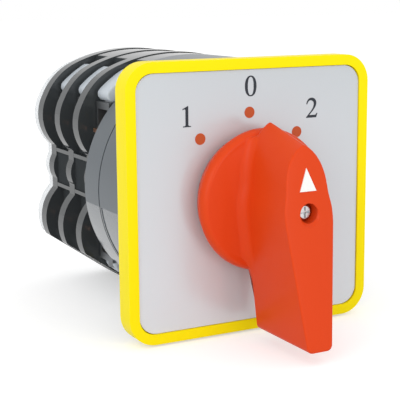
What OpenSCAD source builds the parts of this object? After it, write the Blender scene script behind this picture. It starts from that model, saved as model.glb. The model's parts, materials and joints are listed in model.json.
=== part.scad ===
// Rotary cam switch with three stacked contact stages behind a square front plate.
// X is to the right, Y goes back through the panel, Z is up.
// The origin is on the shaft's axis, in the face of the front frame that lies on the panel.

/* [Front frame and dial] */
// Side of the square front frame
frame_w = 64; // [62:0.5:68]
// Depth of the frame, from its front to the panel
frame_t = 6.2; // [5.8:0.1:7]
// Radius of the frame's outer corners
frame_corner_r = 6.5; // [5:0.5:8]
// Width of the frame's band round the dial
band_w = 2.45; // [2:0.05:2.8]
// Rounding of the frame's front edge
frame_edge_r = 0.9; // [0.4:0.1:1.2]
// Thickness of the dial plate
dial_t = 1.2; // [0.8:0.1:1.6]
// How far the dial lies behind the frame's front
dial_inset = 0.4; // [0.2:0.1:0.8]

/* [Handle] */
// Radius of the handle's disc at its front
disc_r = 16.5; // [15.5:0.1:17]
// Radius of the handle's disc at the dial
disc_rear_r = 15.1; // [14.6:0.1:15.4]
// Thickness of the disc
disc_t = 5.9; // [5:0.1:7]
// Gap between the disc and the dial
handle_gap = 0.7; // [0.5:0.1:1.2]
// Greatest width of the grip blade, at the shaft
blade_w = 11.9; // [11:0.1:12.6]
// Width of the blade at the end of its tail
tail_w = 5.8; // [5:0.1:7]
// Height of the blade's pointed front tip above the axis
tip_h = 14.6; // [14:0.1:15]
// How much higher the point stands at the disc than at the front
prow_rise = 3.5; // [3:0.1:4]
// Length of the tail below the axis
tail_l = 29.7; // [27:0.1:31]
// How far the underside of the tail lies in front of the disc
tail_lift = 0.8; // [0:0.1:2]
// Distance of the blade's front face from the panel, at the axis
blade_front = 30; // [29.6:0.1:31]
// Lean of the blade's front face, further out at the tail
blade_lean = 9.4; // [8:0.1:10]
// Radius of the hollow where the blade grows out of the disc
root_r = 5; // [4:0.1:5.5]
// Radius of the hole down to the handle's screw
screw_well_r = 2.2; // [2.1:0.05:2.6]
// Height of the white pointer
pointer_h = 5; // [4:0.1:5.4]
// Width of the pointer's base
pointer_w = 4.1; // [3.6:0.1:4.4]

/* [Mounting] */
// Spacing of the four panel screws, both ways
hole_pitch = 48; // [47:0.5:48.5]
// Diameter of the holes for the panel screws
hole_d = 4.4; // [4:0.1:5]
// Thickness of the four ears with those holes
ear_t = 4.8; // [4:0.1:5.4]
// Width across the flats of the mounting body
body_w = 59; // [58:0.5:59]
// Radius of the mounting body's rounded corners
body_corner_r = 31.5; // [31:0.1:32]
// Depth of the mounting body
body_t = 17.2; // [16:0.1:19]

/* [Detent] */
// Depth of the detent housing
detent_t = 8.6; // [8.4:0.1:10]
// Radius of the detent housing
detent_r = 29.5; // [29:0.1:30]
// Radius of the star wheel
star_r = 10.5; // [10.3:0.1:10.8]
// Angle between two switch positions
step_angle = 45; // [30:5:45]

/* [Contact stages] */
// Length of one stage along the shaft
stage_pitch = 13; // [12.8:0.1:14]
// Thickness of a stage's outer rim plate
rim_t = 3.7; // [3.4:0.1:3.7]
// Radius of the rims at top and bottom
rim_r = 32.5; // [32.3:0.1:33.5]
// Half width of a rim between its lobes
rim_waist = 22.9; // [22.8:0.1:23.2]
// Radius of the four lobes beside the terminals
lobe_r = 11.4; // [11.2:0.1:11.6]
// Half width of the closed top and bottom walls
wall_half_w = 11.5; // [11:0.1:11.8]
// Radius of the round well in which a cam turns
well_r = 13; // [12.9:0.1:13.2]
// Mean radius of the cams
cam_r = 10.5; // [10.4:0.05:10.7]
// Travel of a contact each way from its middle
contact_travel = 1.6; // [1.2:0.1:1.7]
// Radius of the follower's nose
nose_r = 1.2; // [1:0.05:1.3]
// Width across the flats of the square shaft
shaft_w = 8; // [7.6:0.1:8]
// Free gap round parts that turn or slide
run_gap = 0.06; // [0.04:0.01:0.08]

/* [Hidden] */
$fn = 64;

yellow = [1.0, 0.88, 0.0];
silver = [0.85, 0.87, 0.9];
orange_red = [0.89, 0.27, 0.14];
white = [0.96, 0.96, 0.94];
steel = [0.72, 0.73, 0.75];
grey = [0.42, 0.45, 0.48];
black = [0.2, 0.21, 0.22];
brass = [0.8, 0.58, 0.36];
cream = [0.88, 0.86, 0.78];
milky = [0.85, 0.9, 0.94];

// places along the shaft
dial_front = -(frame_t - dial_inset);
dial_back = dial_front + dial_t;
pocket_d = 0.6;
pocket_w = frame_w - 4.4;
body_front = -pocket_d;
detent_front = body_front + body_t;
stages_front = detent_front + detent_t;
chamber_t = stage_pitch - rim_t;
stages_back = stages_front + 3 * stage_pitch;
disc_back = dial_front - handle_gap;
disc_front = disc_back - disc_t;

// shaft and its bearings
corner_r = shaft_w / 2 * sqrt(2);
journal_r = corner_r + 0.06;
collar_r = 8;
hub_r = journal_r + 1.8;
// solid part of the grip in front of the shaft, and the part of it that the screw presses on
grip_front_t = 5.5;
screw_wall_t = 1.5;
shaft_tip = -(blade_front - grip_front_t);
screw_seat = shaft_tip - screw_wall_t;
washer_t = 0.5;
washer_r = screw_well_r - 0.1;
screw_head_r = screw_well_r - 0.35;
screw_head_t = 1.5;
screw_r = 1.5;
screw_l = 12;
cross_w = 2.4;
cross_slot = 0.5;
cross_d = 0.6;
head_edge = 0.5;
head_hole_r = hole_d / 2 + 1.4;
shaft_end = stages_back - 0.4;

// edges of the blade
face_r = 0.8;
tail_corner_r = 0.9;
// drop of the pointer's base below the blade's tip, and how far it stands proud
pointer_drop = 9.8;
pointer_proud = 0.25;
pointer_t = 1.05;

// detent layers
arm_y = detent_front + 0.4;
arm_t = 1.6;
arm_w = 5;
arm_r = 14.6;
star_y = arm_y + arm_t;
star_t = 4.6;
pocket_gap = 0.2;
nose_notch_r = 1.6;
star_notches = 8;
notch_at = star_r + 0.5;
leaf_x = notch_at + 1.4;
leaf_t = 0.6;
leaf_l = 25;

// places in one stage, from its front face and the axis
ring_r = well_r + 1.3;
block_h = 11.6;
floor_t = 1;
chamber_x = 21.4;
strip_t = 1;
strip_w = 5.2;
strip_x = 14.5;
guide_x = 16.1;
bridge_x = 18;
bridge_t = 1;
bridge_h = 10.2;
tip_z = 8.3;
tip_r = 1.6;
tip_gap = 0.05;
moving_tip_t = 0.5;
fixed_tip_x = bridge_x - moving_tip_t - contact_travel - tip_gap;
stem_h = 6;
stem_t = 8;
neck_x = cam_r + nose_r + 2.1;
pin_r = 1;
pin_l = 2.3;
spring_pocket_x = 22.6;
spring_r = 2.1;
wire_r = 0.3;
spring_turns = 3;
cage_x = strip_x + strip_t + 0.2;
cage_l = 6.6;
cage_w = 7.9;
cage_wall = 0.9;
cage_top = 1.8;
wire_h = 4.8;
cage_top_z = block_h + floor_t + strip_t + wire_h + cage_top;
clamp_screw_r = 1.7;
clamp_head_r = 2.6;
clamp_head_t = 1.7;
cover_depth = 5.3;
cover_from = 29;
cover_to = 46;
tongue_from = 15;
tongue_to = 36;
mid_y = chamber_t / 2;
lobe_x = 15.5;
lobe_z = 13.5;
middle_lobe_x = 18.3;
middle_lobe_r = 6.2;
notch_out = 0.5;
notch_up = 4.7;

// through bolts that hold the stack together
bolt_z = 22.6;
bolt_r = 2;
bolt_head_r = 3.6;
bolt_head_t = 2.8;
bolt_hole_r = 2.15;
bolt_washer_r = 4.2;
nut_flat_w = 7;
nut_t = 3.2;
washer_big_t = 0.8;

function stage_y(n) = stages_front + (n - 1) * stage_pitch;

// Turns an extrusion so that it starts at y and grows back, with its drawing's x and y along X and Z.
module along_y(y, depth) {
    translate([0, y + depth, 0])
        rotate([90, 0, 0])
            linear_extrude(depth)
                children();
}

// A round bar from x1 to x2 along X.
module bar_x(x1, x2, r, y, z) {
    translate([x1, y, z])
        rotate([0, 90, 0])
            cylinder(h = x2 - x1, r = r);
}

// A round bar from y1 to y2 along Y.
module bar_y(y1, y2, r, x = 0, z = 0) {
    translate([x, y1, z])
        rotate([-90, 0, 0])
            cylinder(h = y2 - y1, r = r);
}

// A turned part about the Y axis: its drawing holds radius and distance along Y.
module turned() {
    rotate([-90, 0, 0])
        rotate_extrude($fn = 96)
            children();
}

module rounded_square(w, r) {
    union() {
        square([w, w - 2 * r], center = true);
        square([w - 2 * r, w], center = true);
        for (x = [-1, 1], z = [-1, 1])
            translate([x * (w / 2 - r), z * (w / 2 - r)])
                circle(r);
    }
}

// Repeats a corner of the stage at all four corners.
module four_corners() {
    for (a = [0, 1], b = [0, 1])
        mirror([a, 0, 0])
            mirror([0, 0, b])
                children();
}

module both_sides() {
    for (a = [0, 1])
        mirror([a, 0, 0])
            children();
}

module at_panel_screws() {
    for (x = [-1, 1], z = [-1, 1])
        translate([x * hole_pitch / 2, 0, z * hole_pitch / 2])
            children();
}

module at_bolts() {
    for (z = [-1, 1])
        translate([0, 0, z * bolt_z])
            children();
}

// Front frame: a yellow moulding with a rounded front edge, a bed for the dial and a pocket behind
module bezel_frame() {
    steps = 3;
    color(yellow)
        difference() {
            union() {
                along_y(-frame_t + frame_edge_r, frame_t - frame_edge_r)
                    rounded_square(frame_w, frame_corner_r);
                for (k = [1:steps]) {
                    a = 90 * k / steps;
                    inset = frame_edge_r * (1 - cos(a));
                    along_y(-frame_t + frame_edge_r - frame_edge_r * sin(a), frame_edge_r * sin(a))
                        rounded_square(frame_w - 2 * inset, frame_corner_r - inset);
                }
            }
            along_y(-frame_t - 1, 1 + frame_t + dial_back)
                rounded_square(frame_w - 2 * band_w, frame_corner_r - band_w + 0.4);
            along_y(-pocket_d, pocket_d + 1)
                rounded_square(pocket_w, frame_corner_r - 2);
            bar_y(-frame_t, 1, collar_r + 0.3);
            at_panel_screws()
                bar_y(-frame_t, 1, head_hole_r);
        }
}

// Dial: a thin sheet that fills the frame, with a hole for the shaft's collar.
module dial_plate() {
    color(silver)
        difference() {
            along_y(dial_front, dial_t)
                rounded_square(frame_w - 2 * band_w - 0.2, frame_corner_r - band_w + 0.3);
            bar_y(dial_front - 1, dial_back + 1, collar_r + 0.3);
        }
}

// Handle: a flared disc with a leaning grip blade that has a pointed top and a narrowing tail
// Half width of the blade at a height z, for a point at height top.
function blade_half(z, top) =
    z < -2 ? tail_w / 2 + (blade_w - tail_w) / 2 * (z + tail_l) / (tail_l - 2)
    : blade_w / 2 * pow(max(0, 1 - pow(max(0, z) / top, 2.5)), 0.7);

// How far the blade's foot spreads over the disc at height z.
function foot(z) = max(0, min(root_r, sqrt(max(0, pow(disc_r - 1.2, 2) - z * z)) - blade_half(z, tip_h)));

// Step by which the tail's underside rises where it leaves the disc.
function lift(z) = (tail_lift + 0.3) * max(0, min(1, (3 - disc_r - z) / 5));

// One ring of the blade, up the right side and down the left, in a plane that leans by the given slope.
function blade_ring(y, slope, top, spread, inset, n) =
    let (low = -tail_l + inset + tail_corner_r,
        peak = top - inset,
        corner_x = blade_half(low, peak) - inset - tail_corner_r,
        corner = [for (a = [0:30:60]) [corner_x + tail_corner_r * sin(a), low - tail_corner_r * cos(a)]],
        side = [for (k = [0:n])
            let (z = low + (peak - low) * sin(90 * k / n))
            [(blade_half(z, peak) + spread * foot(z)) - (k < n ? inset * pow(cos(90 * k / n), 0.5) : 0), z]],
        right = concat(corner, side),
        last = len(right) - 1)
    [for (p = right) [p.x, y + slope * p.y - (slope == 0 ? lift(p.y) : 0), p.y],
        for (k = [last - 1:-1:0]) let (p = right[k]) [-p.x, y + slope * p.y - (slope == 0 ? lift(p.y) : 0), p.y]];

module blade() {
    n = 20;
    slope = tan(blade_lean);
    foot_steps = 5;
    face_steps = 3;
    prow_l = blade_front - tip_h * slope + disc_front;
    foot_rings = [for (k = [0:foot_steps])
        let (h = root_r * (1 - cos(90 * k / foot_steps)))
        blade_ring(disc_front + 0.3 - h, 0, tip_h + prow_rise * (1 - h / prow_l), 1 - sin(90 * k / foot_steps), 0, n)];
    face_rings = [for (k = [0:face_steps])
        let (a = 90 * k / face_steps)
        blade_ring(-blade_front + face_r * (1 - sin(a)), slope, tip_h, 0, face_r * (1 - cos(a)), n)];
    rings = concat(foot_rings, face_rings);
    count = len(rings[0]);
    peak = (count - 1) / 2;
    last = len(rings) - 1;
    sides = [for (j = [0:last - 1], i = [0:count - 1])
        let (a = j * count + i, b = j * count + (i + 1) % count)
        each [[a, a + count, b], [b, a + count, b + count]]];
    back_cap = [for (i = [0:peak - 1])
        let (a = i, b = i + 1, c = count - 2 - i, d = count - 1 - i)
        each i == peak - 1 ? [[a, b, d]] : [[a, b, d], [b, c, d]]];
    front_cap = [for (f = back_cap) [for (v = [2:-1:0]) f[v] + last * count]];
    polyhedron([for (r = rings) each r], concat(sides, back_cap, front_cap));
}

module pointer_outline() {
    polygon([[-pointer_w / 2, 0], [pointer_w / 2, 0], [0, pointer_h]]);
}

// Places a drawing on the blade's leaning front face, growing back from the given height above the face.
module on_blade_face(above, depth) {
    translate([0, -blade_front, 0])
        rotate([-blade_lean, 0, 0])
            along_y(-above, depth)
                children();
}

module handle() {
    pointer_base = tip_h - pointer_drop;
    color(orange_red)
        difference() {
            union() {
                turned()
                    polygon([[0, disc_back], [disc_rear_r, disc_back], [disc_r, disc_front + 1.2],
                        [disc_r - 0.15, disc_front + 0.6], [disc_r - 0.6, disc_front + 0.15],
                        [disc_r - 1.2, disc_front], [0, disc_front]]);
                blade();
            }
            // well for the screw, its clearance hole and the square socket
            bar_y(-blade_front - 6, screw_seat, screw_well_r);
            bar_y(screw_seat - 1, shaft_tip + 1, screw_r + 0.2);
            along_y(shaft_tip, -shaft_tip)
                square(shaft_w + 0.04, center = true);
            // hollow back of the disc round the hub
            turned()
                polygon([[collar_r + 1.2, disc_back + 1], [collar_r + 1.2, disc_front + 2],
                    [disc_rear_r - 1.4, disc_front + 2], [disc_rear_r - 1.8, disc_back + 1]]);
            on_blade_face(0, pointer_t - pointer_proud)
                translate([0, pointer_base])
                    pointer_outline();
        }
}

module pointer_insert() {
    pointer_base = tip_h - pointer_drop;
    color(white)
        on_blade_face(pointer_proud, pointer_t)
            translate([0, pointer_base])
                pointer_outline();
}

module handle_screw() {
    head_y = screw_seat - washer_t - screw_head_t;
    color(steel)
        difference() {
            turned()
                polygon([[0, head_y], [screw_head_r - head_edge, head_y], [screw_head_r, head_y + head_edge],
                    [screw_head_r, head_y + screw_head_t], [screw_r, head_y + screw_head_t],
                    [screw_r, shaft_tip + screw_l], [0, shaft_tip + screw_l]]);
            along_y(head_y - 0.1, cross_d + 0.1) {
                square([cross_w, cross_slot], center = true);
                square([cross_slot, cross_w], center = true);
            }
        }
}

module handle_washer() {
    color(steel)
        difference() {
            bar_y(screw_seat - washer_t, screw_seat, washer_r);
            bar_y(screw_seat - washer_t - 1, screw_seat + 1, screw_r);
        }
}

module shaft() {
    color(steel)
        difference() {
            union() {
                along_y(shaft_tip, shaft_end - shaft_tip)
                    square(shaft_w, center = true);
                bar_y(disc_back + 0.5, arm_y, journal_r);
            }
            bar_y(shaft_tip - 1, shaft_tip + screw_l + 1, screw_r);
        }
}

// Mounting body: flats at the sides, round corners, four ears and a collar through the dial
module mounting_flange() {
    pad_w = 8;
    pad_l = 6;
    pad_proud = 0.6;
    ear_root = 10;
    seam = 0.7;
    color(grey)
        difference() {
            union() {
                along_y(body_front, body_t)
                    intersection() {
                        square(body_w, center = true);
                        circle(body_corner_r, $fn = 96);
                    }
                // ears with straight flanks that run into the body
                along_y(body_front, ear_t)
                    for (a = [45:90:315])
                        rotate(a) {
                            translate([hole_pitch / sqrt(2), 0])
                                circle(hole_d);
                            translate([hole_pitch / sqrt(2) - ear_root, -hole_d])
                                square([ear_root, 2 * hole_d]);
                        }
                bar_y(dial_front + 0.3, body_front + 1, collar_r);
                for (x = [-1, 1])
                    translate([x * (body_w / 2 + pad_proud - pad_l / 2), 0, 0])
                        along_y(ear_t, body_t - ear_t - 2)
                            square([pad_l, pad_w], center = true);
            }
            bar_y(dial_front - 1, detent_front + 1, journal_r + run_gap);
            at_panel_screws()
                bar_y(body_front - 1, body_t, hole_d / 2);
            at_bolts() {
                bar_y(body_front - 1, body_front + bolt_head_t + 0.4, bolt_head_r + 0.2);
                bar_y(body_front, detent_front + 1, bolt_hole_r);
            }
            // seam groove at the joint with the detent housing
            turned()
                polygon([[detent_r - seam, detent_front - 0.5], [body_corner_r + 1, detent_front - 0.5],
                    [body_corner_r + 1, detent_front + 1], [detent_r - seam, detent_front + 1]]);
        }
}

module arm_outline(extra) {
    translate([-arm_w / 2 - extra, -arm_r - extra])
        square([arm_w + 2 * extra, arm_r + extra]);
}

// Detent housing: a pocket for the star wheel, two spring slots and the stops for its arm
module detent_housing() {
    reach = norm([arm_r, arm_w / 2]) + pocket_gap;
    color(grey)
        difference() {
            bar_y(detent_front, stages_front, detent_r, $fn = 96);
            // sector in which the stop arm swings, with its two ends as the stops
            along_y(detent_front - 1, 1 + star_y - detent_front) {
                for (a = [-step_angle, step_angle])
                    rotate(a)
                        arm_outline(pocket_gap);
                intersection() {
                    circle(reach, $fn = 96);
                    polygon([[0, 0], for (a = [-step_angle:step_angle / 3:step_angle]) 2 * reach * [sin(a), -cos(a)]]);
                }
                circle(hub_r + 1);
            }
            along_y(star_y - 0.01, star_t + 0.3) {
                circle(star_r + 0.4);
                for (x = [-1, 1])
                    translate([x * (leaf_x - 0.55), 0])
                        square([3.6, leaf_l - 2.4], center = true);
                for (x = [-1, 1])
                    translate([x * leaf_x, 0])
                        square([leaf_t, leaf_l], center = true);
            }
            bar_y(detent_front, stages_front + 1, hub_r + run_gap);
            at_bolts()
                bar_y(detent_front - 1, stages_front + 1, bolt_hole_r);
        }
}

module detent_wheel() {
    color(cream)
        difference() {
            union() {
                along_y(arm_y, arm_t) {
                    arm_outline(0);
                    circle(hub_r);
                }
                along_y(star_y, star_t)
                    difference() {
                        circle(star_r);
                        for (k = [0:star_notches - 1])
                            rotate(k * 360 / star_notches)
                                translate([notch_at, 0])
                                    circle(nose_notch_r + 0.1);
                    }
                bar_y(star_y, stages_front + 0.1, hub_r);
            }
            along_y(detent_front, detent_t + 2)
                square(shaft_w + 0.04, center = true);
        }
}

// Leaf spring with a round nose that sits in one notch of the star wheel.
module detent_spring(side) {
    color(steel)
        translate([side * leaf_x, star_y + 0.1, 0])
            union() {
                along_y(0, star_t - 0.2)
                    square([leaf_t, leaf_l], center = true);
                along_y(0, star_t - 0.2)
                    translate([-side * (leaf_x - notch_at), 0])
                        circle(nose_notch_r);
            }
}

// Contact stages
// Outline of a rim: a round body with two lobes and a small middle lobe at each side.
module rim_outline() {
    intersection() {
        circle(rim_r, $fn = 96);
        square([2 * rim_waist, 2 * rim_r], center = true);
    }
    for (x = [-1, 1], z = [-1, 1])
        translate([x * lobe_x, z * lobe_z])
            circle(lobe_r, $fn = 96);
    for (x = [-1, 1])
        translate([x * middle_lobe_x, 0])
            circle(middle_lobe_r);
}

// Walls of a chamber: closed top and bottom, a block for the contacts at each side and the cam's well.
module chamber_outline() {
    difference() {
        union() {
            intersection() {
                circle(rim_r - 0.2, $fn = 96);
                square([2 * wall_half_w, 2 * rim_r], center = true);
            }
            square([2 * rim_waist, 2 * block_h], center = true);
            for (x = [-1, 1])
                translate([x * middle_lobe_x, 0])
                    circle(middle_lobe_r);
        }
        circle(well_r);
        for (x = [-1, 1]) {
            translate([x * (ring_r + chamber_x) / 2, 0])
                square([chamber_x - ring_r, 2 * (block_h - floor_t)], center = true);
            translate([x * (spring_pocket_x + guide_x) / 2, 0])
                square([spring_pocket_x - guide_x, 2 * spring_r + 1], center = true);
        }
    }
}

module stage_housing(n) {
    y = stage_y(n);
    slot_h = stem_h + 2 * run_gap;
    color(black)
        translate([0, y, 0])
            difference() {
                union() {
                    along_y(chamber_t, rim_t)
                        rim_outline();
                    along_y(0, chamber_t)
                        chamber_outline();
                    // guides in which the contact carriers slide
                    both_sides()
                        translate([-guide_x, 0, -stem_h / 2 - 1.4])
                            cube([guide_x - well_r, chamber_t, stem_h + 2.8]);
                }
                bar_y(-1, chamber_t, well_r);
                bar_y(0, stage_pitch + 1, hub_r + run_gap);
                both_sides()
                    translate([-guide_x - 1, -1, -slot_h / 2])
                        cube([guide_x + 1, 1 + stem_t + 0.1 + run_gap, slot_h]);
                // slots through which the fixed contacts reach down into the chamber
                four_corners()
                    translate([-strip_x - strip_t, mid_y - strip_w / 2, block_h - floor_t - 1])
                        cube([strip_t, strip_w, floor_t + 2]);
                at_bolts()
                    bar_y(-1, stage_pitch + 1, bolt_hole_r);
                // small notch in the rim's edge above each lobe
                four_corners()
                    translate([-lobe_x - lobe_r - notch_out, chamber_t + 0.6, lobe_z + notch_up])
                        rotate([0, 35, 0])
                            cube([1.6, rim_t, 1.2]);
            }
}

// Radius of the cam at an angle from its top, for a follower with a round nose.
function cam_radius(a) =
    let (ramp = min(max(a, 30), 150),
        slope = contact_travel / step_angle * 180 / PI,
        tilt = atan(slope / (cam_r + nose_r)))
    cam_r + contact_travel * (ramp - 90) / step_angle + nose_r - (nose_r + run_gap) / cos(tilt);

module cam(n) {
    y = stage_y(n);
    points = 72;
    color(cream)
        difference() {
            union() {
                along_y(y + 0.2, chamber_t - 0.3)
                    polygon([for (k = [0:points - 1])
                        let (a = 360 * k / points, b = a > 180 ? 360 - a : a)
                        cam_radius(b) * [sin(a), cos(a)]]);
                bar_y(y + chamber_t - 0.2, y + stage_pitch + (n < 3 ? 0.15 : -0.4), hub_r);
            }
            along_y(y, stage_pitch + 1)
                square(shaft_w + 0.04, center = true);
        }
}

// Strip of one terminal: flat under the wire, then down to the contact tip.
module fixed_contacts(n) {
    top = block_h + floor_t;
    foot_z = tip_z - tip_r - 0.4;
    color(brass)
        translate([0, stage_y(n) + mid_y, 0])
            four_corners() {
                translate([-cage_x - cage_l - 1.6, -strip_w / 2, top])
                    cube([cage_x + cage_l + 1.6 - strip_x, strip_w, strip_t]);
                translate([-strip_x - strip_t, -strip_w / 2, foot_z])
                    cube([strip_t, strip_w, top + strip_t - foot_z]);
                bar_x(-fixed_tip_x, -strip_x - strip_t + 0.2, tip_r, 0, tip_z);
            }
}

// Cage that its screw pulls up so that the wire is squeezed against the strip.
module terminal_clamps(n) {
    color(steel)
        translate([0, stage_y(n) + mid_y, 0])
            four_corners()
                difference() {
                    translate([-cage_x - cage_l, -cage_w / 2, block_h])
                        cube([cage_l, cage_w, cage_top_z - block_h]);
                    translate([-cage_x - cage_l - 1, -cage_w / 2 + cage_wall, block_h + floor_t])
                        cube([cage_l + 2, cage_w - 2 * cage_wall, strip_t + wire_h]);
                    translate([-cage_x - cage_l / 2, 0, cage_top_z - cage_top - 1])
                        cylinder(h = cage_top + 2, r = clamp_screw_r);
                }
}

module terminal_screws(n) {
    color(steel)
        translate([0, stage_y(n) + mid_y, 0])
            four_corners()
                translate([-cage_x - cage_l / 2, 0, cage_top_z])
                    difference() {
                        union() {
                            translate([0, 0, -cage_top])
                                cylinder(h = cage_top + 0.5, r = clamp_screw_r);
                            cylinder(h = clamp_head_t, r = clamp_head_r);
                        }
                        translate([-0.4, -clamp_head_r, clamp_head_t - 0.7])
                            cube([0.8, 2 * clamp_head_r, 1]);
                    }
}

// Sector of a ring between two angles from the top, on the left.
module ring_sector(r1, r2, a1, a2) {
    intersection() {
        difference() {
            circle(r2, $fn = 96);
            circle(r1, $fn = 96);
        }
        polygon([[0, 0], for (k = [0:3]) let (a = a1 + (a2 - a1) * k / 3) 1.5 * r2 * [-sin(a), cos(a)]]);
    }
}

// Milky cover over each terminal screw, with a tongue that holds it on the closed wall.
module terminal_covers(n) {
    skin_r = rim_r - 1.6;
    color(milky)
        translate([0, stage_y(n), 0])
            four_corners()
                union() {
                    along_y(0, cover_depth)
                        ring_sector(skin_r, rim_r - 0.1, cover_from, cover_to);
                    along_y(0.4, cover_depth - 1)
                        difference() {
                            ring_sector(skin_r - 1.6, skin_r + 0.1, tongue_from, tongue_to);
                            translate([-wall_half_w, 0])
                                square([wall_half_w, rim_r]);
                        }
                }
}

// Carrier of one moving contact: a nose on the cam, a stem in its guide and a pin for the spring.
module contact_carrier(side, n) {
    nose_x = cam_r + nose_r;
    color(cream)
        translate([0, stage_y(n) + 0.1, 0])
            mirror([side > 0 ? 1 : 0, 0, 0])
                union() {
                    bar_y(0, stem_t, nose_r, -nose_x, 0);
                    translate([-neck_x - 0.1, 0, -nose_r])
                        cube([neck_x + 0.1 - nose_x, stem_t, 2 * nose_r]);
                    translate([-bridge_x, 0, -stem_h / 2])
                        cube([bridge_x - neck_x, stem_t, stem_h]);
                    bar_x(-bridge_x - pin_l, -bridge_x + 0.1, pin_r, mid_y - 0.1, 0);
                }
}

module contact_bridge(side, n) {
    bridge_w = 4.6;
    color(brass)
        translate([0, stage_y(n) + mid_y, 0])
            mirror([side > 0 ? 1 : 0, 0, 0])
                difference() {
                    union() {
                        translate([-bridge_x - bridge_t, -bridge_w / 2, -bridge_h])
                            cube([bridge_t, bridge_w, 2 * bridge_h]);
                        for (z = [-tip_z, tip_z])
                            bar_x(-bridge_x - 0.1, -bridge_x + moving_tip_t, tip_r, 0, z);
                    }
                    bar_x(-bridge_x - 2, -bridge_x + 1, pin_r, 0, 0);
                }
}

// Compression spring: a round wire swept along a helix about the X axis, with a closed turn at each end.
module contact_spring(side, n) {
    sides = 6;
    per_turn = 10;
    x1 = bridge_x + bridge_t + wire_r;
    x2 = spring_pocket_x - wire_r;
    count = spring_turns * per_turn;
    function at(k) =
        let (t = k / count, a = 360 * spring_turns * t)
        [-(x1 + (x2 - x1) * t), spring_r * cos(a), spring_r * sin(a)];
    function ring(k) =
        let (a = 360 * spring_turns * k / count)
        [for (j = [0:sides - 1])
            let (b = 360 * j / sides)
            at(k) + wire_r * [cos(b), sin(b) * cos(a), sin(b) * sin(a)]];
    faces = [for (k = [0:count - 1], j = [0:sides - 1])
        let (a = k * sides + j, b = k * sides + (j + 1) % sides)
        each [[a, a + sides, b], [b, a + sides, b + sides]]];
    start = [[for (j = [0:sides - 1]) j]];
    finish = [[for (j = [sides - 1:-1:0]) count * sides + j]];
    color(steel)
        translate([0, stage_y(n) + mid_y, 0])
            mirror([side > 0 ? 1 : 0, 0, 0])
                polyhedron([for (k = [0:count]) each ring(k)], concat(faces, start, finish));
}

// Fasteners of the stack
module clamping_bolts() {
    head_y = body_front + 0.4;
    color(steel)
        at_bolts()
            difference() {
                union() {
                    bar_y(head_y, body_front + bolt_head_t + 0.4, bolt_head_r);
                    bar_y(head_y, stages_back + washer_big_t + nut_t + 1, bolt_r);
                }
                translate([-bolt_head_r, head_y - 1, -0.5])
                    cube([2 * bolt_head_r, 1.9, 1]);
            }
}

module bolt_washers() {
    color(steel)
        at_bolts()
            difference() {
                bar_y(stages_back, stages_back + washer_big_t, bolt_washer_r);
                bar_y(stages_back - 1, stages_back + washer_big_t + 1, bolt_r + 0.1);
            }
}

module bolt_nuts() {
    color(steel)
        at_bolts()
            difference() {
                translate([0, stages_back + washer_big_t + nut_t, 0])
                    rotate([90, 0, 0])
                        cylinder(h = nut_t, r = nut_flat_w / sqrt(3), $fn = 6);
                bar_y(stages_back, stages_back + washer_big_t + nut_t + 1, bolt_r + 0.02);
            }
}

bezel_frame();
dial_plate();
handle();
pointer_insert();
handle_screw();
handle_washer();
shaft();
mounting_flange();
detent_housing();
detent_wheel();
detent_spring(-1);  // detent_spring_left
detent_spring(1);  // detent_spring_right
for (n = [1:3]) {
    stage_housing(n);
    cam(n);
    fixed_contacts(n);
    terminal_clamps(n);
    terminal_screws(n);
    terminal_covers(n);
    contact_carrier(-1, n);
    contact_carrier(1, n);
    contact_bridge(-1, n);
    contact_bridge(1, n);
    contact_spring(-1, n);
    contact_spring(1, n);
}
clamping_bolts();
bolt_washers();
bolt_nuts();
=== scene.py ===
# %% [markdown]
# A rotary cam switch on a white studio table.
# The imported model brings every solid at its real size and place. This script gives each of them
# a finish, makes the smooth pieces that a photograph shows, and sets the camera and the lights.

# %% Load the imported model
import json
import math
import bmesh
import bpy
from mathutils import Matrix, Vector

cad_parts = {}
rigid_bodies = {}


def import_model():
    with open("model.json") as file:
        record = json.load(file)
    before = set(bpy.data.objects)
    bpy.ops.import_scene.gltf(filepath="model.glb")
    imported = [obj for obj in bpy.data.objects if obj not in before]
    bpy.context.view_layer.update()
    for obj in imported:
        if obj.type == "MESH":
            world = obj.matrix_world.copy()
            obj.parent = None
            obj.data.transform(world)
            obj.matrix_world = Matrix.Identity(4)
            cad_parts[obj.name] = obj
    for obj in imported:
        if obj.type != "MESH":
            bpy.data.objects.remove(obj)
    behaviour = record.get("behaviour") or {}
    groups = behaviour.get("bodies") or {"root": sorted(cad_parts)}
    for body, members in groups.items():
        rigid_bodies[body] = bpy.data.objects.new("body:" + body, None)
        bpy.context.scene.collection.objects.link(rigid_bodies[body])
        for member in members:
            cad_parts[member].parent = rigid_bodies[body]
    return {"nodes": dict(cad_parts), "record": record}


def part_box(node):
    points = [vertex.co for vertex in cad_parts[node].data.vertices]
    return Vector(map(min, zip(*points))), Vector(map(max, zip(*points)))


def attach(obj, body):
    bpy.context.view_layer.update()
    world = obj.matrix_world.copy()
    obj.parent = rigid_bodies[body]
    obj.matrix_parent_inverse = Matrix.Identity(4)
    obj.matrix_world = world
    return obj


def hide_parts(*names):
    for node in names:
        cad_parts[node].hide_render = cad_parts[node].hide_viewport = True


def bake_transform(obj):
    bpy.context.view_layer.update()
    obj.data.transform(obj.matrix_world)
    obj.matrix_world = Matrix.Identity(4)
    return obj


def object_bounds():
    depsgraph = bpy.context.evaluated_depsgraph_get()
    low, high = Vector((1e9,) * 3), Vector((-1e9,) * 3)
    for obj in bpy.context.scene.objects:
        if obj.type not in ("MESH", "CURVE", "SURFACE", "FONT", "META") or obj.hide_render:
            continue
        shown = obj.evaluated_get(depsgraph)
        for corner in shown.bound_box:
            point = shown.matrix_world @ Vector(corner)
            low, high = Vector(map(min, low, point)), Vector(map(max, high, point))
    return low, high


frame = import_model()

MM = 0.001
cad_box = [list(corner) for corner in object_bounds()]
nodes = frame["nodes"]

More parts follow.
